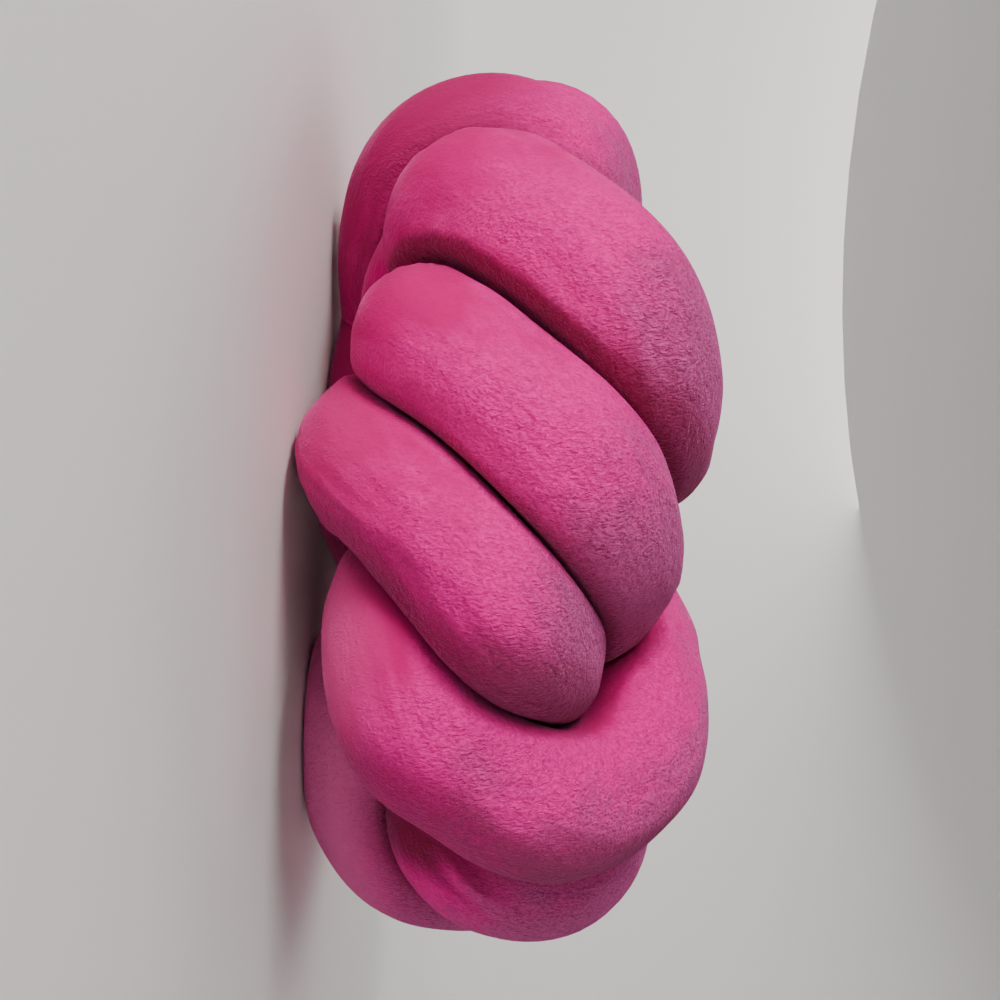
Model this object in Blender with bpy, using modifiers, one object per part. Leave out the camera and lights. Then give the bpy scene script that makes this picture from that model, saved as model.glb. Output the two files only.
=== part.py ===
"""Knot cushion: one plump stuffed tube wound twelve times over the rim of a round cushion.

The tube crosses the rim in four groups of three.  The outer winding of each group runs across a face,
dives through the middle and comes out on the other face.  Both ends are tucked into the core.
Lengths in the tables are in tube diameters; TUBE turns them into metres.  +Z is the upper face.
"""

import bmesh
import bpy
import math
import numpy as np

TUBE = 0.052              # free diameter of the stuffed tube, m
REACH = 1.20              # furthest a neighbouring winding is felt, in tube diameters
LEAN = 3.0                # how far the stations are turned about X, in degrees
FACE = 1.25               # height of each pressed face above the mid-plane, in tube diameters
RIM_LIMIT = 2.50          # furthest the middle of the tube gets from the axis
HEIGHT_LIMIT = 0.82       # furthest the middle of the tube gets from the mid-plane
GAP = -0.03               # neighbouring windings run this far into each other, in tube diameters
BEND_SHARE = 0.82         # share of the bend radius that the inside of a bend may fill
BULGE = 0.07              # how much wider the tube swells beside each place where it is pressed
NEIGHBOUR = 1.25          # length of tube that does not press on itself
PRESS_SHOWN = 0.365       # half the spacing between windings that show
PRESS_DEEP = 0.30         # half the spacing where windings dive through the middle
PRESS_CORE = 0.20         # half the spacing between windings buried in the core
PATH_POINTS = 600
SETTLE_STEPS = 400
EASINGS = 5               # passes that smooth the settled line
RINGS = 700
SIDES = 40
CELL = 0.0024             # cell size at which touching windings are joined into one solid, m
TRIANGLES = 11600
SNAP = 0.0006             # points this near a pressed face are put exactly on it, m
PLUSH = (0.60, 0.035, 0.205, 1.0)

# One row for each pass over the rim, in order round the cushion: six stations from the lower face to the
# upper face, each (distance from the axis, angle round the axis in degrees, height above the mid-plane,
# free radius of the tube there).
PASSES = (
    ((1.82, -56, -0.30, 0.50), (2.26, -51, -0.26, 0.48), (2.40, -39, 0.18, 0.49),
     (2.35, -28, 0.58, 0.49), (2.10, -18, 0.72, 0.48), (1.45, -17, 0.74, 0.48)),
    ((1.82, -30, -0.44, 0.42), (2.17, -22.5, -0.53, 0.41), (2.35, -13.5, -0.07, 0.41),
     (2.38, -3, 0.33, 0.46), (2.14, 8, 0.43, 0.44), (1.54, 30, 0.32, 0.43)),
    ((1.45, -13, -0.74, 0.46), (1.85, -12, -0.76, 0.47), (2.24, -2.5, -0.55, 0.38),
     (2.37, 7.5, -0.18, 0.43), (2.25, 18, 0.10, 0.41), (1.83, 30, 0.18, 0.40)),
    ((1.55, 14, -0.45, 0.46), (2.27, 20.5, -0.50, 0.47), (2.44, 34.5, -0.14, 0.47),
     (2.36, 45, 0.36, 0.46), (2.00, 46, 0.70, 0.48), (1.45, 47, 0.72, 0.49)),
    ((1.43, 61, -0.36, 0.46), (2.02, 67, -0.42, 0.48), (2.36, 70, -0.12, 0.50),
     (2.46, 73, 0.20, 0.50), (2.28, 77, 0.46, 0.49), (1.66, 84, 0.46, 0.48)),
    ((1.35, 62, -0.84, 0.48), (1.75, 71, -0.88, 0.48), (2.20, 80, -0.75, 0.49),
     (2.43, 88, -0.36, 0.49), (2.42, 94, 0.00, 0.48), (2.20, 101, 0.25, 0.48)),
    ((2.00, 98, -0.30, 0.48), (2.30, 109, -0.26, 0.49), (2.40, 119, -0.10, 0.50),
     (2.40, 131, 0.25, 0.50), (2.30, 141, 0.61, 0.50), (2.00, 150, 0.72, 0.50)),
    ((2.00, 133, -0.38, 0.48), (2.30, 144, -0.32, 0.49), (2.40, 154, -0.13, 0.50),
     (2.40, 166, 0.13, 0.50), (2.30, 176, 0.32, 0.49), (2.00, 187, 0.38, 0.48)),
    ((2.00, 170, -0.72, 0.50), (2.30, 179, -0.61, 0.50), (2.40, 189, -0.25, 0.50),
     (2.40, 201, 0.10, 0.50), (2.30, 211, 0.26, 0.49), (2.00, 222, 0.30, 0.48)),
    ((2.00, 205, -0.30, 0.48), (2.30, 216, -0.26, 0.49), (2.40, 226, -0.10, 0.50),
     (2.36, 238, 0.20, 0.49), (2.22, 246, 0.50, 0.48), (1.90, 252, 0.66, 0.48)),
    ((1.90, 267, -0.40, 0.48), (2.30, 270, -0.22, 0.48), (2.45, 272, 0.00, 0.48),
     (2.50, 272, 0.29, 0.48), (2.41, 271, 0.44, 0.47), (2.05, 266, 0.52, 0.46)),
    ((1.40, 280, -0.58, 0.50), (1.92, 286, -0.58, 0.50), (2.33, 291, -0.40, 0.50),
     (2.42, 290, -0.04, 0.50), (2.24, 289, 0.30, 0.50), (1.55, 291, 0.35, 0.48)),
)

# The order in which the tube takes the passes, each with what follows it: a number is the angle at which
# the tube dives through the middle, stations are where it runs through the core to the next pass.
ROUTE = (
    (0, -90.0),
    (8, ((1.48, -114, 0.15, 0.50), (1.20, -62, 0.05, 0.46))),
    (1, ((1.46, 52, 0.10, 0.46), (1.61, 83, -0.15, 0.48))),
    (6, 90.0),
    (2, ((1.53, 58, 0.10, 0.44), (1.35, 90, 0.00, 0.48), (1.57, 121, -0.20, 0.50))),
    (7, ((1.39, 210, 0.20, 0.50), (1.14, 255, 0.05, 0.48),
         (1.12, 302, 0.00, 0.46), (1.22, 341, -0.20, 0.44))),
    (3, 0.0),
    (11, ((1.30, -32, 0.20, 0.46), (1.35, 4, 0.05, 0.44), (1.35, 42, -0.20, 0.46))),
    (4, ((1.30, 113, 0.15, 0.48), (1.34, 153, 0.00, 0.50), (1.51, 188, -0.20, 0.50))),
    (9, 180.0),
    (5, ((1.50, 127, 0.20, 0.48), (1.36, 172, 0.10, 0.50),
         (1.36, 216, -0.10, 0.50), (1.58, 252, -0.25, 0.48))),
    (10, ()),
)
# stations of a dive through the middle, with the angle measured back from the dive
DIVE = ((1.00, 62, 0.68, 0.49), (0.58, 45, 0.40, 0.50), (0.42, 0, 0.0, 0.48), (0.58, -50, -0.40, 0.50),
        (1.00, -88, -0.68, 0.49))
START = ((0.22, -63, 0.0, 0.40), (1.06, -71, -0.15, 0.44))
END = ((1.24, -104, 0.30, 0.44), (0.34, -116, 0.0, 0.40))
CAP = 0.30                # length over which each tucked end is rounded off


def place(station):
    """A station as a point, in tube diameters."""
    radius, angle, height = station[:3]
    turn = math.radians(angle)
    lean = math.radians(LEAN)
    x, y = radius * math.cos(turn), radius * math.sin(turn)
    return np.array([x, y * math.cos(lean) - height * math.sin(lean),
                     height * math.cos(lean) + y * math.sin(lean)])


def stations():
    """Every station along the tube: point, free radius, half spacing and how firmly it is held."""
    rows = [(place(s), s[3], PRESS_CORE, 0.0) for s in START]
    for number, onward in ROUTE:
        shown = number <= 5 or number >= 10
        hold = 1.0 if shown else 0.3
        rows += [(place(s), s[3], PRESS_SHOWN, hold) for s in PASSES[number]]
        if isinstance(onward, float):
            for radius, back, height, free in DIVE:
                press = PRESS_SHOWN if abs(height) > 0.5 else PRESS_DEEP
                rows.append((place((radius, onward + back, height)), free, press, 0.3))
        else:
            rows += [(place(s), s[3], PRESS_CORE, 0.0) for s in onward]
    rows += [(place(s), s[3], PRESS_CORE, 0.0) for s in END]
    return [np.array(column) for column in zip(*rows)]


def travelled(points):
    """Distance along a line of points, from zero."""
    return np.concatenate([[0.0], np.cumsum(np.linalg.norm(np.diff(points, axis=0), axis=1))])


def even(points, count):
    """The line through the points at evenly spaced distances."""
    along = travelled(points)
    wanted = np.linspace(0.0, along[-1], count)
    return np.stack([np.interp(wanted, along, points[:, axis]) for axis in range(3)], axis=1)


def flowing(points, dense=24):
    """A smooth line through the points: cubic pieces whose slopes come from the neighbours."""
    along = travelled(points)
    slope = np.empty_like(points)
    step = np.diff(along)[:, None]
    rate = np.diff(points, axis=0) / step
    slope[0] = rate[0]
    slope[-1] = rate[-1]
    slope[1:-1] = (rate[:-1] * step[1:] + rate[1:] * step[:-1]) / (step[1:] + step[:-1])
    t = np.linspace(0.0, 1.0, dense, endpoint=False)[None, :, None]
    a = points[:-1, None]
    b = points[1:, None]
    da = (slope[:-1] * step)[:, None]
    db = (slope[1:] * step)[:, None]
    line = (a * (2 * t**3 - 3 * t**2 + 1) + da * (t**3 - 2 * t**2 + t)
            + b * (3 * t**2 - 2 * t**3) + db * (t**3 - t**2))
    return np.concatenate([line.reshape(-1, 3), points[-1:]])


def settle(path, press, held, targets, holds):
    """Let the windings push each other apart and ease their bends, while held stations stay put."""
    count = len(path)
    first, second = np.triu_indices(count, 1)
    rest = np.linalg.norm(np.diff(path, axis=0), axis=1)
    along = travelled(path)
    wanted = press[first] + press[second]
    apart = (along[second] - along[first]) > np.maximum(1.15, 1.6 * wanted)
    first, second, wanted = first[apart], second[apart], wanted[apart]
    for step in range(SETTLE_STEPS):
        if step % 20 == 0:
            reach = path[second] - path[first]
            close = (reach * reach).sum(axis=1) < 1.6
            a, b, limit = first[close], second[close], wanted[close]
        bend = np.zeros_like(path)
        bend[1:-1] = path[:-2] + path[2:] - 2 * path[1:-1]
        twice = np.zeros_like(path)
        twice[1:-1] = bend[:-2] + bend[2:] - 2 * bend[1:-1]
        path = path - 0.075 * twice + 0.02 * bend
        for parity in (0, 1):
            low = np.arange(parity, count - 1, 2)
            high = low + 1
            reach = path[high] - path[low]
            size = np.linalg.norm(reach, axis=1)
            move = ((size - rest[low]) / size * 0.175)[:, None] * reach
            path[low] += move
            path[high] -= move
        reach = path[b] - path[a]
        size = np.sqrt((reach * reach).sum(axis=1)) + 1e-9
        push = np.maximum(limit - size, 0.0)
        move = reach / size[:, None] * (push * 0.5)[:, None]
        total = np.stack([np.bincount(b, move[:, axis], count) - np.bincount(a, move[:, axis], count)
                          for axis in range(3)], axis=1)
        share = np.bincount(a, push > 0, count) + np.bincount(b, push > 0, count)
        path = path + total / np.maximum(share, 1)[:, None] * 1.2
        path[held] += 0.5 * holds[:, None] * (targets - path[held])
        path[:, 2] -= 0.5 * np.sign(path[:, 2]) * np.maximum(np.abs(path[:, 2]) - HEIGHT_LIMIT, 0.0)
        out = np.hypot(path[:, 0], path[:, 1])
        path[:, :2] *= (1.0 - 0.5 * np.maximum(out - RIM_LIMIT, 0.0) / np.maximum(out, 1e-9))[:, None]
    return path


def wound():
    """The settled middle line of the tube, with its free radius and half spacing along it."""
    points, radii, presses, holds = stations()
    dense = flowing(points)
    along = travelled(dense)
    share = along[::24] / along[-1]
    path = even(dense, PATH_POINTS)
    places = np.linspace(0.0, 1.0, PATH_POINTS)
    free = np.interp(places, share, radii)
    press = np.interp(places, share, presses)
    for column in (free, press):
        for _ in range(10):
            column[1:-1] = (column[:-2] + 2 * column[1:-1] + column[2:]) / 4
    keep = holds > 0
    held = np.round(share * (PATH_POINTS - 1)).astype(int)[keep]
    path = settle(path, press, held, points[keep], holds[keep])
    for _ in range(EASINGS):
        path[1:-1] = (path[:-2] + 2 * path[1:-1] + path[2:]) / 4
    return path, free, press


def frames(path):
    """Direction of the tube at each point and two directions across it, carried along without twist."""
    ahead = np.gradient(path, axis=0)
    ahead /= np.linalg.norm(ahead, axis=1, keepdims=True)
    side = np.empty_like(path)
    guess = np.array([0.0, 0.0, 1.0])
    for i, direction in enumerate(ahead):
        guess = guess - direction * (guess @ direction)
        guess = guess / np.linalg.norm(guess)
        side[i] = guess
    return ahead, side, np.cross(ahead, side)


def skin(path, free, press, rings, sides):
    """Rings of points on the tube's surface: round where free, pressed flat against its neighbours."""
    line = even(flowing(path, 6), rings)
    wanted = np.linspace(0.0, 1.0, rings)
    given = np.linspace(0.0, 1.0, len(press))
    spacing = np.interp(wanted, given, press)
    ahead, side, over = frames(line)
    angle = np.arange(sides) * 2 * math.pi / sides
    out = (side[:, None] * np.cos(angle)[None, :, None] + over[:, None] * np.sin(angle)[None, :, None])
    along = travelled(line)
    path_along = travelled(path)
    radius = np.repeat(np.interp(wanted, given, free)[:, None], sides, axis=1)
    curve = np.gradient(ahead, axis=0) / np.gradient(along)[:, None]
    for i in range(rings):
        turn = out[i] @ curve[i]
        reach = path - line[i]
        size = np.sqrt((reach * reach).sum(axis=1))
        near = (size < REACH) & (np.abs(path_along - along[i]) > NEIGHBOUR)
        share = spacing[i] / (spacing[i] + press[near])
        plane = (share * size[near] - GAP / 2) * size[near]
        facing = out[i] @ reach[near].T
        if near.any():
            limit = (plane[None, :] / np.maximum(facing, 1e-6)).min(axis=1)
            beside = np.clip((1.5 - limit / radius[i]) / 0.5, 0.0, 1.0)
            swollen = radius[i] * (1.0 + BULGE * beside * beside * (3 - 2 * beside))
            radius[i] = np.minimum(swollen, limit)
        radius[i] = np.minimum(radius[i], BEND_SHARE / np.maximum(turn, 1e-6))
        height = out[i][:, 2]
        ceiling = (FACE - np.sign(height) * line[i][2]) / np.maximum(np.abs(height), 1e-6)
        radius[i] = np.minimum(radius[i], ceiling)
    end = np.minimum(along, along[-1] - along)
    cap = np.sqrt(np.clip(1.0 - (1.0 - np.minimum(end / CAP, 1.0)) ** 2, 0.09, 1.0))
    radius = np.maximum(radius, 0.06) * cap[:, None]
    return line[:, None] + out * radius[:, :, None]


def tube_mesh(rings):
    """A closed mesh through the rings, with a fan over each tucked end."""
    sides = rings.shape[1]
    mesh = bpy.data.meshes.new("rings")
    work = bmesh.new()
    grid = [[work.verts.new(point) for point in ring] for ring in rings.tolist()]
    for low, high in zip(grid[:-1], grid[1:]):
        for k in range(sides):
            work.faces.new((low[k], low[k - 1], high[k - 1], high[k]))
    for ring, points in ((grid[0], rings[0]), (grid[-1], rings[-1])):
        middle = work.verts.new(points.mean(axis=0).tolist())
        for k in range(sides):
            work.faces.new((ring[k - 1], ring[k], middle))
    bmesh.ops.recalc_face_normals(work, faces=work.faces)
    work.to_mesh(mesh)
    work.free()
    return mesh


def outer_shell(mesh):
    """The mesh with only its largest connected shell, so no sealed hollow stays inside."""
    work = bmesh.new()
    work.from_mesh(mesh)
    left = set(work.verts)
    largest = set()
    while left:
        edge = [left.pop()]
        shell = set(edge)
        while edge:
            vert = edge.pop()
            for link in vert.link_edges:
                other = link.other_vert(vert)
                if other in left:
                    left.remove(other)
                    shell.add(other)
                    edge.append(other)
        if len(shell) > len(largest):
            largest = shell
    bmesh.ops.delete(work, geom=[v for v in work.verts if v not in largest], context="VERTS")
    work.to_mesh(mesh)
    work.free()
    return mesh


def applied(thing, kind, **settings):
    """Add one modifier to the object, then make its result the object's mesh."""
    modifier = thing.modifiers.new(kind.lower(), kind)
    for key, value in settings.items():
        setattr(modifier, key, value)
    graph = bpy.context.evaluated_depsgraph_get()
    mesh = bpy.data.meshes.new_from_object(thing.evaluated_get(graph))
    thing.modifiers.clear()
    thing.data = mesh
    return len(mesh.polygons)


def main():
    for thing in list(bpy.data.objects):
        bpy.data.objects.remove(thing, do_unlink=True)
    collection = bpy.data.collections.new("knot_cushion")
    bpy.context.scene.collection.children.link(collection)
    path, free, press = wound()
    rings = skin(path, free, press, RINGS, SIDES) * TUBE
    rings[:, :, 2] += FACE * TUBE
    cushion = bpy.data.objects.new("wound_tube", tube_mesh(rings))
    collection.objects.link(cushion)
    applied(cushion, "REMESH", mode="VOXEL", voxel_size=CELL)
    cushion.data = outer_shell(cushion.data)
    applied(cushion, "SMOOTH", factor=0.5, iterations=2)
    count = applied(cushion, "TRIANGULATE")
    applied(cushion, "DECIMATE", ratio=TRIANGLES / count)
    across = np.array([vert.co[:2] for vert in cushion.data.vertices])
    middle = (across.min(axis=0) + across.max(axis=0)) / 2
    for vert in cushion.data.vertices:
        vert.co.x -= middle[0]
        vert.co.y -= middle[1]
        for level in (0.0, 2 * FACE * TUBE):
            if abs(vert.co.z - level) < SNAP:
                vert.co.z = level
    plush = bpy.data.materials.new("plush")
    plush.use_nodes = True
    shader = plush.node_tree.nodes["Principled BSDF"]
    shader.inputs["Base Color"].default_value = PLUSH
    shader.inputs["Roughness"].default_value = 0.9
    shader.inputs["Metallic"].default_value = 0.0
    cushion.data.materials.clear()
    cushion.data.materials.append(plush)


main()
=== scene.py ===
"""Knot cushion in pink plush: one plump stuffed tube wound over the rim, pressed, creased and napped."""

import bpy
import math
import numpy as np
from mathutils import Matrix, Vector


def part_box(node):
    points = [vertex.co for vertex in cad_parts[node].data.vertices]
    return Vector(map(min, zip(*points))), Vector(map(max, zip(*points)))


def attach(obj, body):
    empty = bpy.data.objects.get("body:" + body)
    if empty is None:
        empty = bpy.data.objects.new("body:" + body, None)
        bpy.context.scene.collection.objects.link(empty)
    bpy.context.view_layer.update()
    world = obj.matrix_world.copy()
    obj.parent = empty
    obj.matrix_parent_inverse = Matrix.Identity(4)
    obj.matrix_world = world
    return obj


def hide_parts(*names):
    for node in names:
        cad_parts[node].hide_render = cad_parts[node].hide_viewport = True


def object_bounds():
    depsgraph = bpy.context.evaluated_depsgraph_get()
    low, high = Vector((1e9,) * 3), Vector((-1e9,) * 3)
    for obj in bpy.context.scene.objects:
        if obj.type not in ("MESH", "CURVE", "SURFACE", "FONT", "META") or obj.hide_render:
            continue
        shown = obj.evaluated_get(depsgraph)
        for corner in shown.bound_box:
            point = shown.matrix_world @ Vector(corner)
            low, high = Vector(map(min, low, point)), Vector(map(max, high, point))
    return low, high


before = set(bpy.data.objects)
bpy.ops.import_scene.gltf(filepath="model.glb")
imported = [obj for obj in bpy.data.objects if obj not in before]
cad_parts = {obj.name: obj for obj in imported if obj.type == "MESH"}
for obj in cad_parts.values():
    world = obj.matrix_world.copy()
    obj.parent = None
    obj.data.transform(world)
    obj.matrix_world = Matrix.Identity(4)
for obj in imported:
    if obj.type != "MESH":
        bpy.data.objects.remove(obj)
CAD_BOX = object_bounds()

bl_info = {
    "name": "Knot cushion",
    "version": (1, 0, 0),
    "blender": (4, 5, 0),
    "location": "View3D > Sidebar > Knot cushion",
    "description": "Winds a stuffed plush tube into a round knot cushion and sets it on a studio floor",
    "category": "Object",
}

TUBE = 0.052              # free diameter of the stuffed tube, m
REACH = 1.20              # furthest a neighbouring winding is felt, in tube diameters
LEAN = 3.0                # how far the stations are turned about X, in degrees
FACE = 1.25               # height of the resting face below the mid-plane, in tube diameters
RIM_LIMIT = 2.50          # furthest the middle of the tube gets from the axis
HEIGHT_LIMIT = 0.82       # furthest the middle of the tube gets from the mid-plane
BEND_SHARE = 0.82         # share of the bend radius that the inside of a bend may fill
NEIGHBOUR = 1.25          # length of tube that does not press on itself
PRESS_SHOWN = 0.365       # half the spacing between windings that show
PRESS_DEEP = 0.30         # half the spacing where windings dive through the middle
PRESS_CORE = 0.20         # half the spacing between windings buried in the core
PATH_POINTS = 600
DENSE = 24                # points drawn between two stations
BLENDS = 10               # passes that blend the radius and spacing of one station into the next
SETTLE_STEPS = 400
SEARCH_EVERY = 20         # steps between two searches for windings that are close
CLOSE = 1.6               # squared distance within which two points are watched
OWN_LENGTH = 1.15         # shortest length of tube between two points that push each other
OWN_SHARE = 1.6           # the same, as a share of the spacing that they want
STIFFNESS = 0.075         # share of an uneven bend that each step evens out
TENSION = 0.02            # share of a bend that each step draws straight
SPRING = 0.175            # share of a stretch that each step gives back
PUSH = 1.2                # share of an overlap that each step pushes apart
HOLD = 0.5                # share of the way that a station, or a point past a limit, is brought back
LIGHT_HOLD = 0.3          # how firmly a station that does not show is held
EASINGS = 5               # passes that smooth the settled line
BURIED = 0.30             # rings to a length of buried tube, as a share of those where it shows
FAR = 9.0                 # stands for no limit on the radius
WIDEST = 0.9              # largest radius that a limit is kept at, in tube diameters
THINNEST = 0.06           # smallest radius that pressing leaves, in tube diameters
INNER_ROUND = 0.06        # width over which a side rounds into the inside of a bend
FACE_ROUND = (0.08, 0.16)  # width over which a side rounds into the lower and the upper resting level
CREASE = 0.10             # furthest from the pressed side that the cloth counts as creased
SHADE = (0.02, 0.34)      # distances from the pressed side at which the shade is full and gone
TIP = 0.09                # squared share of its radius that each tucked end keeps
ROWS_AT_ONCE = 40         # rings whose neighbours are measured together

# Uneven stuffing and strained cloth: typical wave lengths in metres along and across the straightened
# tube, and a seed. Lumps and dimples start with their height in metres.
LUMPS = (0.0005, (0.045, 0.030, 0.030), 3)
DIMPLES = (0.00018, (0.016, 0.012, 0.012), 4)
ACROSS = ((0.0065, 0.060, 0.060), 5)
LENGTHWAYS = ((0.09, 0.006, 0.006), 7)
STRAINED = ((0.05, 0.03, 0.03), 6)

# How each pass over the rim, in the order wound, is coloured: how far its tone lifts to pale, painted shade
# low down, painted light by the floor, painted shade facing +Y, and painted shade on a tucked pass.
TONE_LIFT = (0.02, 0.0, 0.0, 0.0, 0.02, 0.0, -0.05, -0.02, 0.02, 0.05, 0.12, 0.0)
LAID_SHADE = (0.0, 0.0, 0.0, 0.0, 0.0, 0.0, 0.0, 0.57, 0.95, 0.0, 0.0, 0.0)
FLOOR_LIGHT = (0.0, 0.0, 0.0, 0.0, 0.10, 0.0, 0.45, 0.0, 0.45, 0.60, 1.00, 0.60)
UNDER_SHADE = (0.78, 0.0, 0.10, 0.0, 0.68, 0.0, 0.62, 0.0, 0.0, 0.0, 0.0, 0.0)
TUCKED_SHADE = (0.0, 0.0, 0.0, 0.0, 0.0, 0.0, 0.0, 1.0, 1.0, 0.0, 1.0, 0.0)
TONE_BY_FACING = (0.0, 0.26, 0.19)    # painted light and shade: tone toward pale as the surface faces along each axis
TONE_BY_HEIGHT = 2.2                  # painted light and shade: how much further the tone moves for each metre of height
TONE_LEVEL = 0.066               # height above the floor at which the rise is nil, m
TUCKED_SHADE_STRENGTH = 0.62                # how dark the painted shade is where a winding is tucked beneath a neighbour
DARKEST_SHADE = 0.85              # furthest that painted shade darkens an underside or a tucked winding

# The plush's patterns: how many to the metre, and for the two soft ones how far they move the nap.
BLOTCHES = (38.0, 0.34)
PATCHES = (120.0, 0.16)
CRINKLES = 1300.0
TUFTS = 420.0
NAP_DEPTH = 0.0014              # depth of the relief, m

# The studio: name of each lamp, its setting, width in metres and place.
LAMPS = (
    ("key_light", "key", 0.9, (1.18, -1.20, 0.30)),
    ("fill_light", "fill", 0.8, (1.60, 0.40, 0.14)),
    ("back_light", "back", 1.2, (-1.30, -0.50, 1.00)),
    ("top_light", "top", 1.2, (-0.35, 0.10, 1.65)),
)
LAMP_COLOUR = (1.0, 0.985, 0.965)
SKY_COLOUR = (0.93, 0.95, 1.0, 1.0)
SWEEP = (3.2, 1.0, 3.4)         # reach of the floor, reach of its flat part and height of its edge, m
SENSOR = 36.0                   # width of the camera's sensor, mm
SHIFT = (-0.008, 0.006)         # sideways and upward shift of the camera's view, in view widths

# One row for each pass over the rim, in order round the cushion: six stations from the lower face to the
# upper face, each (distance from the axis, angle round the axis in degrees, height above the mid-plane,
# free radius of the tube there).
PASSES = (
    ((1.82, -56, -0.30, 0.50), (2.26, -51, -0.26, 0.48), (2.40, -39, 0.18, 0.49),
     (2.35, -28, 0.58, 0.49), (2.10, -18, 0.72, 0.48), (1.45, -17, 0.74, 0.48)),
    ((1.82, -30, -0.44, 0.42), (2.17, -22.5, -0.53, 0.41), (2.35, -13.5, -0.07, 0.41),
     (2.38, -3, 0.33, 0.46), (2.14, 8, 0.43, 0.44), (1.54, 30, 0.32, 0.43)),
    ((1.45, -13, -0.74, 0.46), (1.85, -12, -0.76, 0.47), (2.24, -2.5, -0.55, 0.38),
     (2.37, 7.5, -0.18, 0.43), (2.25, 18, 0.10, 0.41), (1.83, 30, 0.18, 0.40)),
    ((1.55, 14, -0.45, 0.46), (2.27, 20.5, -0.50, 0.47), (2.44, 34.5, -0.14, 0.47),
     (2.36, 45, 0.36, 0.46), (2.00, 46, 0.70, 0.48), (1.45, 47, 0.72, 0.49)),
    ((1.43, 61, -0.36, 0.46), (2.02, 67, -0.42, 0.48), (2.36, 70, -0.12, 0.50),
     (2.46, 73, 0.20, 0.50), (2.28, 77, 0.46, 0.49), (1.66, 84, 0.46, 0.48)),
    ((1.35, 62, -0.84, 0.48), (1.75, 71, -0.88, 0.48), (2.20, 80, -0.75, 0.49),
     (2.43, 88, -0.36, 0.49), (2.42, 94, 0.00, 0.48), (2.20, 101, 0.25, 0.48)),
    ((2.00, 98, -0.30, 0.48), (2.30, 109, -0.26, 0.49), (2.40, 119, -0.10, 0.50),
     (2.40, 131, 0.25, 0.50), (2.30, 141, 0.61, 0.50), (2.00, 150, 0.72, 0.50)),
    ((2.00, 133, -0.38, 0.48), (2.30, 144, -0.32, 0.49), (2.40, 154, -0.13, 0.50),
     (2.40, 166, 0.13, 0.50), (2.30, 176, 0.32, 0.49), (2.00, 187, 0.38, 0.48)),
    ((2.00, 170, -0.72, 0.50), (2.30, 179, -0.61, 0.50), (2.40, 189, -0.25, 0.50),
     (2.40, 201, 0.10, 0.50), (2.30, 211, 0.26, 0.49), (2.00, 222, 0.30, 0.48)),
    ((2.00, 205, -0.30, 0.48), (2.30, 216, -0.26, 0.49), (2.40, 226, -0.10, 0.50),
     (2.36, 238, 0.20, 0.49), (2.22, 246, 0.50, 0.48), (1.90, 252, 0.66, 0.48)),
    ((1.90, 267, -0.40, 0.48), (2.30, 270, -0.22, 0.48), (2.45, 272, 0.00, 0.48),
     (2.50, 272, 0.29, 0.48), (2.41, 271, 0.44, 0.47), (2.05, 266, 0.52, 0.46)),
    ((1.40, 280, -0.58, 0.50), (1.92, 286, -0.58, 0.50), (2.33, 291, -0.40, 0.50),
     (2.42, 290, -0.04, 0.50), (2.24, 289, 0.30, 0.50), (1.55, 291, 0.35, 0.48)),
)

# The order in which the tube takes the passes, each with what follows it: a number is the angle at which
# the tube dives through the middle, stations are where it runs through the core to the next pass.
ROUTE = (
    (0, -90.0),
    (8, ((1.48, -114, 0.15, 0.50), (1.20, -62, 0.05, 0.46))),
    (1, ((1.46, 52, 0.10, 0.46), (1.61, 83, -0.15, 0.48))),
    (6, 90.0),
    (2, ((1.53, 58, 0.10, 0.44), (1.35, 90, 0.00, 0.48), (1.57, 121, -0.20, 0.50))),
    (7, ((1.39, 210, 0.20, 0.50), (1.14, 255, 0.05, 0.48),
         (1.12, 302, 0.00, 0.46), (1.22, 341, -0.20, 0.44))),
    (3, 0.0),
    (11, ((1.30, -32, 0.20, 0.46), (1.35, 4, 0.05, 0.44), (1.35, 42, -0.20, 0.46))),
    (4, ((1.30, 113, 0.15, 0.48), (1.34, 153, 0.00, 0.50), (1.51, 188, -0.20, 0.50))),
    (9, 180.0),
    (5, ((1.50, 127, 0.20, 0.48), (1.36, 172, 0.10, 0.50),
         (1.36, 216, -0.10, 0.50), (1.58, 252, -0.25, 0.48))),
    (10, ()),
)
# stations of a dive through the middle, with the angle measured back from the dive
DIVE = ((1.00, 62, 0.68, 0.49), (0.58, 45, 0.40, 0.50), (0.42, 0, 0.0, 0.48), (0.58, -50, -0.40, 0.50),
        (1.00, -88, -0.68, 0.49))
START = ((0.22, -63, 0.0, 0.40), (1.06, -71, -0.15, 0.44))
END = ((1.24, -104, 0.30, 0.44), (0.34, -116, 0.0, 0.40))
CAP = 0.30                # length over which each tucked end is rounded off


def place(station):
    """A station as a point, in tube diameters."""
    radius, angle, height = station[:3]
    turn = math.radians(angle)
    lean = math.radians(LEAN)
    x, y = radius * math.cos(turn), radius * math.sin(turn)
    return np.array([x, y * math.cos(lean) - height * math.sin(lean),
                     height * math.cos(lean) + y * math.sin(lean)])


def stations():
    """Every station along the tube: point, free radius, half spacing and how firmly it is held."""
    rows = [(place(s), s[3], PRESS_CORE, 0.0) for s in START]
    for number, onward in ROUTE:
        shown = number <= 5 or number >= 10
        hold = 1.0 if shown else LIGHT_HOLD
        rows += [(place(s), s[3], PRESS_SHOWN, hold) for s in PASSES[number]]
        if isinstance(onward, float):
            for radius, back, height, free in DIVE:
                press = PRESS_SHOWN if abs(height) > 0.5 else PRESS_DEEP
                rows.append((place((radius, onward + back, height)), free, press, LIGHT_HOLD))
        else:
            rows += [(place(s), s[3], PRESS_CORE, 0.0) for s in onward]
    rows += [(place(s), s[3], PRESS_CORE, 0.0) for s in END]
    return [np.array(column) for column in zip(*rows)]


def travelled(points):
    """Distance along a line of points, from zero."""
    return np.concatenate([[0.0], np.cumsum(np.linalg.norm(np.diff(points, axis=0), axis=1))])


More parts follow.
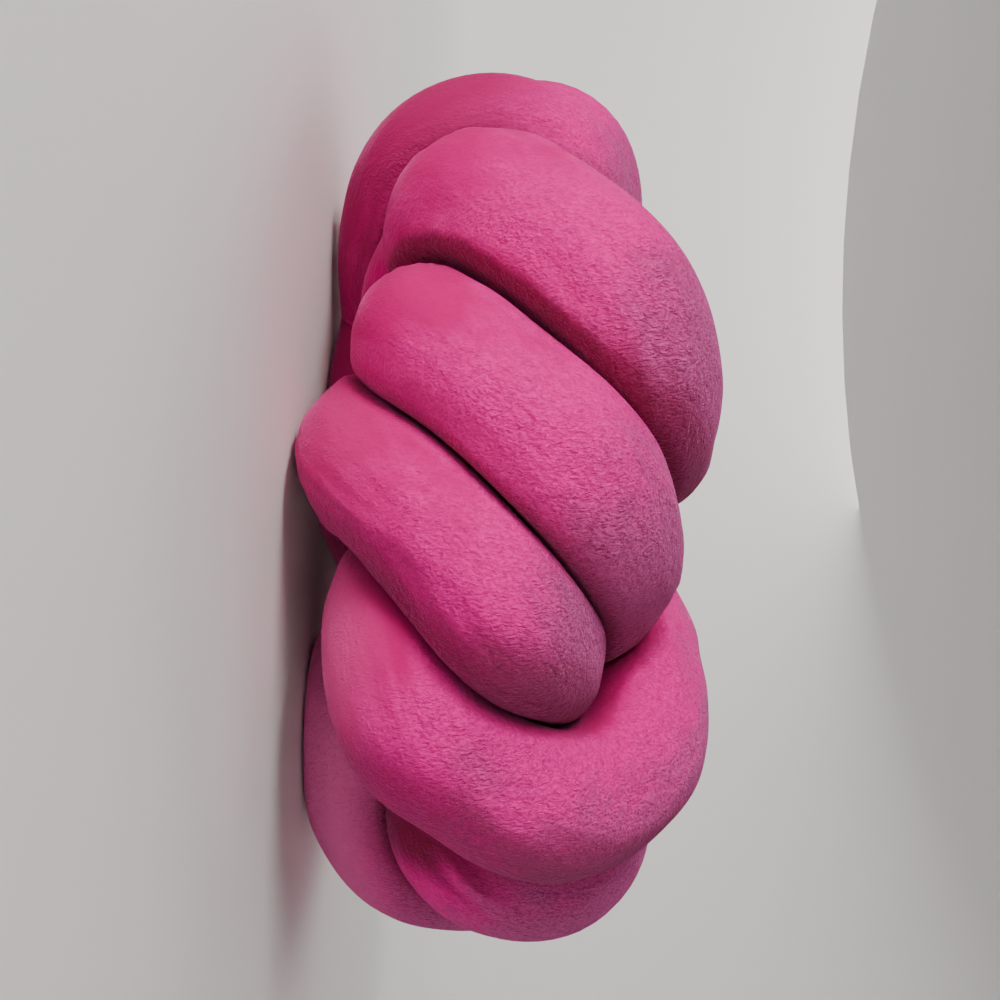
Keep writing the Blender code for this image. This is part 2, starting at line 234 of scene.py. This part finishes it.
def even(points, count):
    """The line through the points at evenly spaced distances."""
    along = travelled(points)
    wanted = np.linspace(0.0, along[-1], count)
    return np.stack([np.interp(wanted, along, points[:, axis]) for axis in range(3)], axis=1)


def flowing(points, dense=DENSE):
    """A smooth line through the points: cubic pieces whose slopes come from the neighbours."""
    along = travelled(points)
    slope = np.empty_like(points)
    step = np.diff(along)[:, None]
    rate = np.diff(points, axis=0) / step
    slope[0] = rate[0]
    slope[-1] = rate[-1]
    slope[1:-1] = (rate[:-1] * step[1:] + rate[1:] * step[:-1]) / (step[1:] + step[:-1])
    t = np.linspace(0.0, 1.0, dense, endpoint=False)[None, :, None]
    a = points[:-1, None]
    b = points[1:, None]
    da = (slope[:-1] * step)[:, None]
    db = (slope[1:] * step)[:, None]
    line = (a * (2 * t**3 - 3 * t**2 + 1) + da * (t**3 - 2 * t**2 + t)
            + b * (3 * t**2 - 2 * t**3) + db * (t**3 - t**2))
    return np.concatenate([line.reshape(-1, 3), points[-1:]])


def settle(path, press, held, targets, holds):
    """Let the windings push each other apart and ease their bends, while held stations stay put."""
    count = len(path)
    first, second = np.triu_indices(count, 1)
    rest = np.linalg.norm(np.diff(path, axis=0), axis=1)
    along = travelled(path)
    wanted = press[first] + press[second]
    apart = (along[second] - along[first]) > np.maximum(OWN_LENGTH, OWN_SHARE * wanted)
    first, second, wanted = first[apart], second[apart], wanted[apart]
    for step in range(SETTLE_STEPS):
        if step % SEARCH_EVERY == 0:
            reach = path[second] - path[first]
            close = (reach * reach).sum(axis=1) < CLOSE
            a, b, limit = first[close], second[close], wanted[close]
        bend = np.zeros_like(path)
        bend[1:-1] = path[:-2] + path[2:] - 2 * path[1:-1]
        twice = np.zeros_like(path)
        twice[1:-1] = bend[:-2] + bend[2:] - 2 * bend[1:-1]
        path = path - STIFFNESS * twice + TENSION * bend
        for parity in (0, 1):
            low = np.arange(parity, count - 1, 2)
            high = low + 1
            reach = path[high] - path[low]
            size = np.linalg.norm(reach, axis=1)
            move = ((size - rest[low]) / size * SPRING)[:, None] * reach
            path[low] += move
            path[high] -= move
        reach = path[b] - path[a]
        size = np.sqrt((reach * reach).sum(axis=1)) + 1e-9
        push = np.maximum(limit - size, 0.0)
        move = reach / size[:, None] * (push * 0.5)[:, None]
        total = np.stack([np.bincount(b, move[:, axis], count) - np.bincount(a, move[:, axis], count)
                          for axis in range(3)], axis=1)
        share = np.bincount(a, push > 0, count) + np.bincount(b, push > 0, count)
        path = path + total / np.maximum(share, 1)[:, None] * PUSH
        path[held] += HOLD * holds[:, None] * (targets - path[held])
        path[:, 2] -= HOLD * np.sign(path[:, 2]) * np.maximum(np.abs(path[:, 2]) - HEIGHT_LIMIT, 0.0)
        out = np.hypot(path[:, 0], path[:, 1])
        path[:, :2] *= (1.0 - HOLD * np.maximum(out - RIM_LIMIT, 0.0) / np.maximum(out, 1e-9))[:, None]
    return path


def wound():
    """The settled middle line of the tube, with its free radius and half spacing along it."""
    points, radii, presses, holds = stations()
    dense = flowing(points)
    along = travelled(dense)
    share = along[::DENSE] / along[-1]
    path = even(dense, PATH_POINTS)
    places = np.linspace(0.0, 1.0, PATH_POINTS)
    free = np.interp(places, share, radii)
    press = np.interp(places, share, presses)
    for column in (free, press):
        for _ in range(BLENDS):
            column[1:-1] = (column[:-2] + 2 * column[1:-1] + column[2:]) / 4
    keep = holds > 0
    held = np.round(share * (PATH_POINTS - 1)).astype(int)[keep]
    path = settle(path, press, held, points[keep], holds[keep])
    for _ in range(EASINGS):
        path[1:-1] = (path[:-2] + 2 * path[1:-1] + path[2:]) / 4
    return path, free, press


def frames(path):
    """Direction of the tube at each point and two directions across it, carried along without twist."""
    ahead = np.gradient(path, axis=0)
    ahead /= np.linalg.norm(ahead, axis=1, keepdims=True)
    side = np.empty_like(path)
    guess = np.array([0.0, 0.0, 1.0])
    for i, direction in enumerate(ahead):
        guess = guess - direction * (guess @ direction)
        guess = guess / np.linalg.norm(guess)
        side[i] = guess
    return ahead, side, np.cross(ahead, side)


def eased(a, b, width):
    """The smaller of two values, rounded off over a width where they are nearly equal."""
    near = np.maximum(width - np.abs(a - b), 0.0) / width
    return np.minimum(a, b) - near * near * width / 4


def blurred(grid, rings, sides):
    """The grid averaged with its neighbours: so many passes along the tube and round it."""
    for _ in range(rings):
        grid[1:-1] = (grid[:-2] + 2 * grid[1:-1] + grid[2:]) / 4
    for _ in range(sides):
        grid = (np.roll(grid, 1, axis=1) + 2 * grid + np.roll(grid, -1, axis=1)) / 4
    return grid


def drawn_out(line, given, press, count):
    """Places for the rings along a line, closer together where the tube shows than where it is buried."""
    along = travelled(line)
    shown = stepped(np.interp(np.linspace(0.0, 1.0, len(line)), given, press), 0.22, 0.34)
    wanted = BURIED + (1.0 - BURIED) * shown
    total = np.concatenate([[0.0], np.cumsum((wanted[1:] + wanted[:-1]) / 2 * np.diff(along))])
    place = np.interp(np.linspace(0.0, total[-1], count), total, along)
    points = np.stack([np.interp(place, along, line[:, axis]) for axis in range(3)], axis=1)
    return points, place / along[-1]


def waves(points, lengths, seed, count=14):
    """Soft unevenness: a sum of cosines of the place, with seeded directions and phases.

    lengths gives the typical wave length along each of the three axes; the sum runs from about -1 to 1.
    """
    chance = np.random.default_rng(seed)
    way = chance.normal(size=(count, 3))
    way *= chance.uniform(0.7, 1.4, size=(count, 1)) / np.linalg.norm(way, axis=1, keepdims=True)
    turns = points @ (2 * math.pi * way / np.array(lengths)).T + chance.uniform(0, 2 * math.pi, count)
    return np.cos(turns).sum(axis=-1) / math.sqrt(count)


def stepped(value, low, high):
    """0 below low, 1 above high, and a smooth rise between."""
    t = np.clip((value - low) / (high - low), 0.0, 1.0)
    return t * t * (3 - 2 * t)


def pressed_tube(look):
    """The tube's surface as a grid of rings: place, place on the straightened tube, crease depth and shade.

    Each point is the ring's middle plus an outward direction times a radius.  The radius is the smallest
    of the free radius, the distance to the plane shared with each neighbouring winding, the room inside
    the bend, and the distance to the resting level.  Stuffing and wrinkles then move it a little.
    """
    path, free, press = wound()
    smooth = flowing(path, 6)
    given = np.linspace(0.0, 1.0, PATH_POINTS)
    path = even(smooth, look.neighbours)
    line, share = drawn_out(path, given, press, look.rings)
    spacing = np.interp(share, given, press)
    press = np.interp(np.linspace(0.0, 1.0, look.neighbours), given, press)
    ahead, side, over = frames(line)
    angle = np.arange(look.sides) * 2 * math.pi / look.sides
    out = side[:, None] * np.cos(angle)[None, :, None] + over[:, None] * np.sin(angle)[None, :, None]
    along = travelled(line)
    path_along = travelled(path)
    full = np.repeat(np.interp(share, given, free)[:, None], look.sides, axis=1)
    curve = np.gradient(ahead, axis=0) / np.gradient(along)[:, None]
    bend = np.einsum("ijk,ik->ij", out, curve)
    limit = np.full_like(full, FAR)
    gap = look.gap / look.tube
    for start in range(0, look.rings, ROWS_AT_ONCE):
        rows = slice(start, start + ROWS_AT_ONCE)
        reach = path[None] - line[rows, None]
        size = np.linalg.norm(reach, axis=2)
        near = (size < REACH) & (np.abs(path_along[None] - along[rows, None]) > NEIGHBOUR)
        part = spacing[rows, None] / (spacing[rows, None] + press[None])
        plane = np.where(near, (part * size - gap / 2) * size, FAR)
        felt = near.any(axis=0)
        facing = np.maximum(out[rows] @ reach[:, felt].transpose(0, 2, 1), 1e-6)
        limit[rows] = (plane[:, None, felt] / facing).min(axis=2)
    limit = blurred(np.minimum(limit, WIDEST), 3, 2)
    inner = np.minimum(BEND_SHARE / np.maximum(bend, 1e-6), WIDEST)
    room = np.minimum(blurred(inner, 4, 1), inner)
    swollen = full * (1.0 + look.bulge * (1.0 - stepped(limit / full, 1.0, 1.5)))
    radius = eased(eased(swollen, room, INNER_ROUND), limit, look.roundness)
    crease = 1.0 - stepped(limit - radius, 0.0, CREASE)
    shade = 1.0 - stepped(limit - radius, *SHADE)
    height = out[:, :, 2]
    level = np.where(height < 0, FACE, FACE + look.crown)
    width = np.where(height < 0, *FACE_ROUND)
    rest = (level - np.sign(height) * line[:, None, 2]) / np.maximum(np.abs(height), 1e-6)
    end = np.minimum(along, along[-1] - along)
    cap = np.sqrt(np.clip(1.0 - (1.0 - np.minimum(end / CAP, 1.0)) ** 2, TIP, 1.0))
    straight = np.stack([np.repeat(along[:, None], look.sides, axis=1),
                         0.5 * np.cos(angle)[None].repeat(look.rings, axis=0),
                         0.5 * np.sin(angle)[None].repeat(look.rings, axis=0)], axis=2) * look.tube
    radius = eased(radius, rest, width)
    radius = np.maximum(radius, THINNEST) * cap[:, None]
    radius = blurred(radius, look.softness, 1)
    rings = line[:, None] + out * radius[:, :, None]
    crease = blurred(crease, 3, 1)
    shade = blurred(shade, 8, 4)
    free_side = (1.0 - crease) * stepped(rest - radius, 0.0, 0.10)
    rings += out * (free_side * stuffing(straight, bend, look) / look.tube)[:, :, None]
    return rings, straight, crease, shade


def stuffing(straight, bend, look):
    """How far, in metres, uneven filling and strained cloth move the surface outwards."""
    lumps = sum(height * waves(straight, lengths, seed) for height, lengths, seed in (LUMPS, DIMPLES))
    patches = stepped(waves(straight, *STRAINED), 0.2, 1.3)
    across = stepped(bend, 0.15, 0.9) * waves(straight, *ACROSS, 18)
    lengthways = stepped(-bend, 0.25, 0.9) * waves(straight, *LENGTHWAYS, 18)
    return lumps + look.wrinkles * patches * (across + 0.5 * lengthways)


def per_point(grid):
    """The values of a grid of rings, one for each mesh point: the rings in order, then the two ends."""
    return np.concatenate([grid.reshape(-1, *grid.shape[2:]), grid[[0, -1]].mean(axis=1)])


def grid_mesh(name, rings):
    """A closed mesh over a grid of rings, with each end closed by a fan."""
    count, sides = rings.shape[:2]
    index = np.arange(count * sides).reshape(count, sides)
    low, high = index[:-1], index[1:]
    quads = np.stack([low, high, np.roll(high, 1, axis=1), np.roll(low, 1, axis=1)], axis=-1).reshape(-1, 4)
    ends = []
    for ring, middle, turn in ((index[0], count * sides, 1), (index[-1], count * sides + 1, -1)):
        fan = np.stack([ring, np.roll(ring, turn), np.full(sides, middle)], axis=1)
        ends.append(fan)
    mesh = bpy.data.meshes.new(name)
    mesh.from_pydata(per_point(rings).tolist(), [], quads.tolist() + np.concatenate(ends).tolist())
    mesh.update()
    mesh.polygons.foreach_set("use_smooth", np.ones(len(mesh.polygons), bool))
    return mesh


def add_values(mesh, name, values):
    """Store one number or one vector a point on the mesh under a name that the plush reads."""
    kind, key = ("FLOAT", "value") if values.ndim == 1 else ("FLOAT_VECTOR", "vector")
    layer = mesh.attributes.new(name, kind, "POINT")
    layer.data.foreach_set(key, values.astype(np.float32).ravel())


def by_pass(along, table):
    """A number for each place along the tube: steady over each pass, and eased from one to the next."""
    count = len(table)
    middles = (np.arange(count) + 0.5) / count
    places = np.stack([middles - 0.3 / count, middles + 0.3 / count], axis=1).ravel()
    return np.interp(along / along.max(), places, np.repeat(table, 2))


def painted_light_values(along, shade, normals, points):
    """Painted light and shade at each mesh point, by the names that the plush reads.

    toned is the tone by facing, height and pass, painted light and shade; laid painted shade low down;
    frosted painted light by the floor; under painted shade facing +Y and on tucked passes.
    """
    lower, depth = normals[:, 1], -points[:, 2]
    # painted light and shade: the tone by which way the surface faces and how high it lies
    nap = normals @ np.array(TONE_BY_FACING) + TONE_BY_HEIGHT * (points[:, 2] - TONE_LEVEL)
    # where laid falls: painted shade low down near the floor, away from sides facing +Y
    side_shown = stepped(depth, -0.085, -0.045) * stepped(-lower, -0.50, -0.20)
    # painted shade near pressed sides on sides facing +Y and tucked passes, and on +Y sides of UNDER_SHADE
    # passes
    tucked = np.maximum(stepped(lower, -0.10, 0.45), by_pass(along, TUCKED_SHADE))
    under = TUCKED_SHADE_STRENGTH * shade * tucked + by_pass(along, UNDER_SHADE) * stepped(lower, 0.10, 0.50)
    return {
        "brushed": 0.5 + nap + by_pass(along, TONE_LIFT),
        "laid": by_pass(along, LAID_SHADE) * side_shown,
        "frosted": by_pass(along, FLOOR_LIGHT) * stepped(depth, -0.040, -0.010),
        "under": np.minimum(under, DARKEST_SHADE),
    }


class Value:
    """A number socket that can be used in sums: each operator adds one Math node."""

    def __init__(self, nodes, socket):
        self.nodes = nodes
        self.socket = socket

    def maths(self, operation, other):
        return self.nodes.add("ShaderNodeMath", {"operation": operation}, {0: self, 1: other})

    def __add__(self, other):
        return self.maths("ADD", other)

    def __sub__(self, other):
        return self.maths("SUBTRACT", other)

    def __rsub__(self, other):
        return self * -1.0 + other

    def __mul__(self, other):
        return self.maths("MULTIPLY", other)

    def smooth(self, low, high):
        """0 below low, 1 above high, and a smooth rise between."""
        return self.nodes.add("ShaderNodeMapRange", {"interpolation_type": "SMOOTHSTEP"},
                              {"Value": self, "From Min": low, "From Max": high})


class Nodes:
    """A material's node tree, with one method that adds any node."""

    def __init__(self, name):
        self.material = bpy.data.materials.new(name)
        self.material.use_nodes = True
        self.tree = self.material.node_tree
        self.tree.nodes.clear()

    def add(self, kind, settings=None, inputs=None, output=0):
        """Add a node: set its settings, give its sockets values or links, and return an output."""
        node = self.tree.nodes.new(kind)
        for key, value in (settings or {}).items():
            setattr(node, key, value)
        for key, value in (inputs or {}).items():
            socket = node.inputs[key]
            if isinstance(value, Value):
                self.tree.links.new(value.socket, socket)
            else:
                socket.default_value = value
        return Value(self, node.outputs[output]) if len(node.outputs) else None

    def mix(self, share, a, b):
        """A colour that goes from a to b as share goes from 0 to 1."""
        return self.add("ShaderNodeMix", {"data_type": "RGBA"}, {0: share, 6: a, 7: b}, 2)

    def stored(self, name):
        """The numbers stored on the mesh under this name."""
        return self.add("ShaderNodeAttribute", {"attribute_name": name}, {}, 2)

    def noise(self, place, scale, detail, rough, distortion=0.0):
        """Soft random spots, so many to the metre, from 0 to 1."""
        return self.add("ShaderNodeTexNoise", {}, {
            "Vector": place, "Scale": scale, "Detail": detail, "Roughness": rough, "Distortion": distortion})


def plush_material(look):
    """Short plush: random blotches and crinkles, with painted light and shade in its tones and creases."""
    nodes = Nodes("plush_nap")
    straight = nodes.add("ShaderNodeAttribute", {"attribute_name": "straight"}, {}, 1)
    crease, brushed, laid, frosted, under = (
        nodes.stored(name) for name in ("crease", "brushed", "laid", "frosted", "under"))
    place = nodes.add("ShaderNodeTexCoord", {}, {}, 3)
    fibres = nodes.add("ShaderNodeMapping", {}, {"Vector": place, "Scale": (1.0, 1.0, 0.5)})
    blotch = nodes.noise(straight, BLOTCHES[0], 2.0, 0.55)
    patch = nodes.noise(straight, PATCHES[0], 1.0, 0.5)
    # the tone: painted light and shade by facing and height, plus random blotches and patches of the plush
    nap = brushed + (blotch - 0.5) * BLOTCHES[1] + (patch - 0.5) * PATCHES[1]
    # lean and pale_share: how far the tone goes from deep to the painted highlight and on to pale
    lean = nap.smooth(0.22, 0.44)
    pale_share = nap.smooth(0.48, 0.78)
    crinkle = nodes.noise(fibres, CRINKLES, 2.0, 0.55, 0.5)
    tufts = nodes.noise(straight, TUFTS, 1.0, 0.5)
    pile = crinkle.smooth(0.34, 0.62)
    texture = (lean * 0.22 + pale_share * 0.24 + frosted * 0.12 + 0.07) * (tufts + 0.5)
    deep, bright, pale, floor_light_colour, dark = (
        tuple(c) + (1.0,) for c in (look.deep, look.bright, look.pale, look.floor_light_colour, look.dark))
    # painted light and shade: deep, painted highlight and pale by facing and height
    colour = nodes.mix(pale_share, nodes.mix(lean, deep, bright), pale)
    # painted shade low down near the floor on the passes in LAID_SHADE
    colour = nodes.mix(laid, colour, dark)
    colour = nodes.mix((1.0 - pile) * texture, colour, dark)
    # painted light next to the floor, lifting the lowest windings to a pale pink
    colour = nodes.mix(frosted, colour, floor_light_colour)
    # painted shade on sides facing +Y and where a winding is tucked beneath its neighbour
    colour = nodes.mix(under, colour, dark)
    # painted shade in the creases
    colour = nodes.mix(crease.smooth(0.35, 1.0) * 0.50, colour, dark)
    relief = (crinkle + tufts * 0.3) * (texture * 3.2)
    bump = nodes.add("ShaderNodeBump", {}, {"Height": relief, "Strength": 0.9, "Distance": NAP_DEPTH})
    surface = nodes.add("ShaderNodeBsdfPrincipled", {}, {
        "Base Color": colour, "Roughness": 0.88, "Normal": bump, "Specular IOR Level": 0.04,
        "Sheen Weight": look.sheen, "Sheen Roughness": 0.24, "Sheen Tint": tuple(look.sheen_tint) + (1.0,)})
    nodes.add("ShaderNodeOutputMaterial", {}, {"Surface": surface})
    return nodes.material


def floor_material(colour):
    """A plain pale matt studio surface."""
    nodes = Nodes("studio_floor")
    surface = nodes.add("ShaderNodeBsdfPrincipled", {}, {
        "Base Color": tuple(colour) + (1.0,), "Roughness": 0.9, "Specular IOR Level": 0.1})
    nodes.add("ShaderNodeOutputMaterial", {}, {"Surface": surface})
    return nodes.material


def link(name, data):
    """Put an object with this data in the scene, at the origin."""
    thing = bpy.data.objects.new(name, data)
    bpy.context.scene.collection.objects.link(thing)
    return thing


class CushionSettings(bpy.types.PropertyGroup):
    """Sizes of the wound tube."""

    tube: bpy.props.FloatProperty(name="Tube", description="Free diameter of the stuffed tube",
                                  default=TUBE, min=0.01, subtype="DISTANCE", unit="LENGTH")
    gap: bpy.props.FloatProperty(name="Gap", description="Clearance between touching windings",
                                 default=0.0012, subtype="DISTANCE", unit="LENGTH")
    wrinkles: bpy.props.FloatProperty(name="Wrinkles", description="Height of the wrinkles at the bends",
                                      default=0.0012, subtype="DISTANCE", unit="LENGTH")
    roundness: bpy.props.FloatProperty(name="Roundness", description="Width, in tube diameters, over which "
                                       "a free side rounds into a pressed one", default=0.06)
    bulge: bpy.props.FloatProperty(name="Bulge", description="How much wider the tube swells beside each "
                                   "place where it is pressed", default=0.07)
    softness: bpy.props.IntProperty(name="Softness", description="Passes that round off folded cloth",
                                    default=8)
    neighbours: bpy.props.IntProperty(name="Neighbours", description="Places along the tube whose pressure "
                                      "is felt", default=2400)
    crown: bpy.props.FloatProperty(name="Crown", description="How far the upper face may rise above the "
                                   "pressed level, in tube diameters", default=0.10)
    rings: bpy.props.IntProperty(name="Rings", description="Rings of points along the tube", default=1410)
    sides: bpy.props.IntProperty(name="Sides", description="Points round each ring", default=69)


class PlushSettings(bpy.types.PropertyGroup):
    """Colours of the plush."""

    # deep: the tone where the surface faces -Y and -Z and lies low, part of the painted light and shade
    deep: bpy.props.FloatVectorProperty(name="Deep", description="Colour where the nap lies flat",
                                        default=(0.58, 0.001, 0.160), subtype="COLOR")
    # highlight: a painted highlight, the tone between deep and pale
    bright: bpy.props.FloatVectorProperty(name="Bright", description="Colour where the nap leans to light",
                                          default=(0.94, 0.010, 0.325), subtype="COLOR")
    # pale: the tone where the surface faces +Y and +Z and lies high, part of the painted light and shade
    pale: bpy.props.FloatVectorProperty(name="Pale", description="Colour where the nap stands up",
                                        default=(0.62, 0.090, 0.315), subtype="COLOR")
    # floor_light_colour: painted light, the pale pink that lifts the windings next to the floor
    floor_light_colour: bpy.props.FloatVectorProperty(name="Frost", description="Colour where the nap is brushed back",
                                         default=(1.0, 0.180, 0.500), subtype="COLOR")
    # dark: where painted shade in creases, low down and on undersides goes, and the dark between crinkles
    dark: bpy.props.FloatVectorProperty(name="Dark", description="Colour in the creases and between fibres",
                                        default=(0.24, 0.018, 0.066), subtype="COLOR")
    sheen: bpy.props.FloatProperty(name="Sheen", description="Strength of the soft edge light", default=0.42)
    sheen_tint: bpy.props.FloatVectorProperty(name="Sheen tint", description="Colour of the edge light",
                                              default=(1.0, 0.28, 0.66), subtype="COLOR")


class StageSettings(bpy.types.PropertyGroup):
    """The studio floor, lights and camera."""

    floor: bpy.props.FloatVectorProperty(name="Floor", description="Colour of the floor and backdrop",
                                         default=(0.88, 0.862, 0.845), subtype="COLOR")
    key: bpy.props.FloatProperty(name="Key light", description="Power of the main soft light",
                                 default=111.0, subtype="POWER", unit="POWER")
    fill: bpy.props.FloatProperty(name="Fill light", description="Power of the low light beside the camera",
                                  default=24.0, subtype="POWER", unit="POWER")
    back: bpy.props.FloatProperty(name="Back light", description="Power of the light behind the cushion",
                                  default=16.0, subtype="POWER", unit="POWER")
    top: bpy.props.FloatProperty(name="Top light", description="Power of the light over the cushion",
                                 default=3.5, subtype="POWER", unit="POWER")
    sky: bpy.props.FloatProperty(name="Sky", description="Strength of the even light from all round",
                                 default=0.06)
    distance: bpy.props.FloatProperty(name="Distance", description="From the cushion's axis to the camera",
                                      default=9.6 * TUBE, subtype="DISTANCE", unit="LENGTH")
    lens: bpy.props.FloatProperty(name="Lens", description="Focal length on a 36 mm wide sensor",
                                  default=49.3)


class KNOT_OT_wind_cushion(bpy.types.Operator):
    """Wind the stuffed tube, press its windings together and cover it in plush"""

    bl_idname = "knot.wind_cushion"
    bl_label = "Wind cushion"

    def execute(self, context):
        look = context.scene.knot_cushion
        rings, straight, crease, shade = pressed_tube(look)
        rings = rings * look.tube
        low, high = rings.min(axis=(0, 1)), rings.max(axis=(0, 1))
        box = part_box("wound_tube")
        shift = (np.array(box[0]) + np.array(box[1]) - low - high) / 2
        shift[2] = box[0][2] - low[2]
        rings += shift
        mesh = grid_mesh("plush_tube", rings)
        normals = np.zeros(len(mesh.vertices) * 3, np.float32)
        mesh.vertices.foreach_get("normal", normals)
        straight = per_point(straight)
        # painted light and shade at each point, for the plush to read
        nap = painted_light_values(straight[:, 0], per_point(shade), normals.reshape(-1, 3), per_point(rings))
        for name, values in {"straight": straight, "crease": per_point(crease), **nap}.items():
            add_values(mesh, name, values)
        cushion = link("plush_tube", mesh)
        mesh.materials.append(plush_material(context.scene.knot_plush))
        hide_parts("wound_tube")
        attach(cushion, "root")
        return {"FINISHED"}


def sweep_mesh(reach, flat, height, steps=96, rows=40):
    """A round studio sweep: a disc out to flat, then a smooth rise to height at reach."""
    radius = np.linspace(0.0, reach, rows)
    radius[0] = 0.001
    rise = height * stepped(radius, flat, reach * 1.15)
    angle = np.linspace(0.0, 2 * math.pi, steps, endpoint=False)
    points = np.stack([radius[:, None] * np.cos(angle), radius[:, None] * np.sin(angle),
                       np.repeat(rise[:, None], steps, axis=1)], axis=2)
    index = np.arange(rows * steps).reshape(rows, steps)
    low, high = index[:-1], index[1:]
    quads = np.stack([low, high, np.roll(high, -1, axis=1), np.roll(low, -1, axis=1)], axis=-1)
    mesh = bpy.data.meshes.new("studio_floor")
    mesh.from_pydata(points.reshape(-1, 3).tolist(), [], quads.reshape(-1, 4).tolist() + [index[0].tolist()])
    mesh.polygons.foreach_set("use_smooth", np.ones(len(mesh.polygons), bool))
    return mesh


def aimed(position, target):
    """A turn that points an object's -Z from position at target."""
    return (Vector(target) - Vector(position)).to_track_quat("-Z", "Y").to_matrix().to_4x4()


class KNOT_OT_set_stage(bpy.types.Operator):
    """Lay the floor, set the lights and place the camera"""

    bl_idname = "knot.set_stage"
    bl_label = "Set stage"

    def execute(self, context):
        stage = context.scene.knot_stage
        low, high = CAD_BOX
        middle = Vector((0.0, 0.0, (low.z + high.z) / 2))
        floor = link("studio_floor", sweep_mesh(*SWEEP))
        floor.data.materials.append(floor_material(stage.floor))
        for name, setting, size, place in LAMPS:
            data = bpy.data.lights.new(name, "AREA")
            data.energy = getattr(stage, setting)
            data.size = size
            data.color = LAMP_COLOUR
            lamp = link(name, data)
            lamp.matrix_world = Matrix.Translation(place) @ aimed(place, middle)
            lamp.visible_camera = False
        world = bpy.data.worlds.new("studio")
        world.use_nodes = True
        background = world.node_tree.nodes["Background"]
        background.inputs["Color"].default_value = SKY_COLOUR
        background.inputs["Strength"].default_value = stage.sky
        context.scene.world = world
        data = bpy.data.cameras.new("camera")
        data.lens = stage.lens
        data.sensor_width = SENSOR
        data.shift_x, data.shift_y = SHIFT
        camera = link("camera", data)
        turn = Matrix(((0.0, 0.0, 1.0), (0.0, -1.0, 0.0), (1.0, 0.0, 0.0))).to_4x4()
        turn = Matrix.Rotation(math.radians(LEAN), 4, "X") @ turn
        camera.matrix_world = Matrix.Translation(middle + Vector((stage.distance, 0.0, 0.0))) @ turn
        context.scene.camera = camera
        return {"FINISHED"}


class KNOT_PT_sidebar(bpy.types.Panel):
    """Lists the cushion's settings and the steps that build it"""

    bl_idname = "KNOT_PT_sidebar"
    bl_label = "Knot cushion"
    bl_space_type = "VIEW_3D"
    bl_region_type = "UI"
    bl_category = "Knot cushion"

    def draw(self, context):
        for group in (context.scene.knot_cushion, context.scene.knot_plush, context.scene.knot_stage):
            box = self.layout.box()
            for key in group.bl_rna.properties.keys():
                if key not in ("rna_type", "name"):
                    box.prop(group, key)
        self.layout.operator(KNOT_OT_wind_cushion.bl_idname)
        self.layout.operator(KNOT_OT_set_stage.bl_idname)


CLASSES = (CushionSettings, PlushSettings, StageSettings, KNOT_OT_wind_cushion, KNOT_OT_set_stage,
           KNOT_PT_sidebar)


def register():
    for kind in CLASSES:
        bpy.utils.register_class(kind)
    bpy.types.Scene.knot_cushion = bpy.props.PointerProperty(type=CushionSettings)
    bpy.types.Scene.knot_plush = bpy.props.PointerProperty(type=PlushSettings)
    bpy.types.Scene.knot_stage = bpy.props.PointerProperty(type=StageSettings)


def unregister():
    del bpy.types.Scene.knot_stage
    del bpy.types.Scene.knot_plush
    del bpy.types.Scene.knot_cushion
    for kind in reversed(CLASSES):
        bpy.utils.unregister_class(kind)


def main():
    register()
    bpy.ops.knot.wind_cushion()
    bpy.ops.knot.set_stage()


if __name__ == "__main__":
    main()
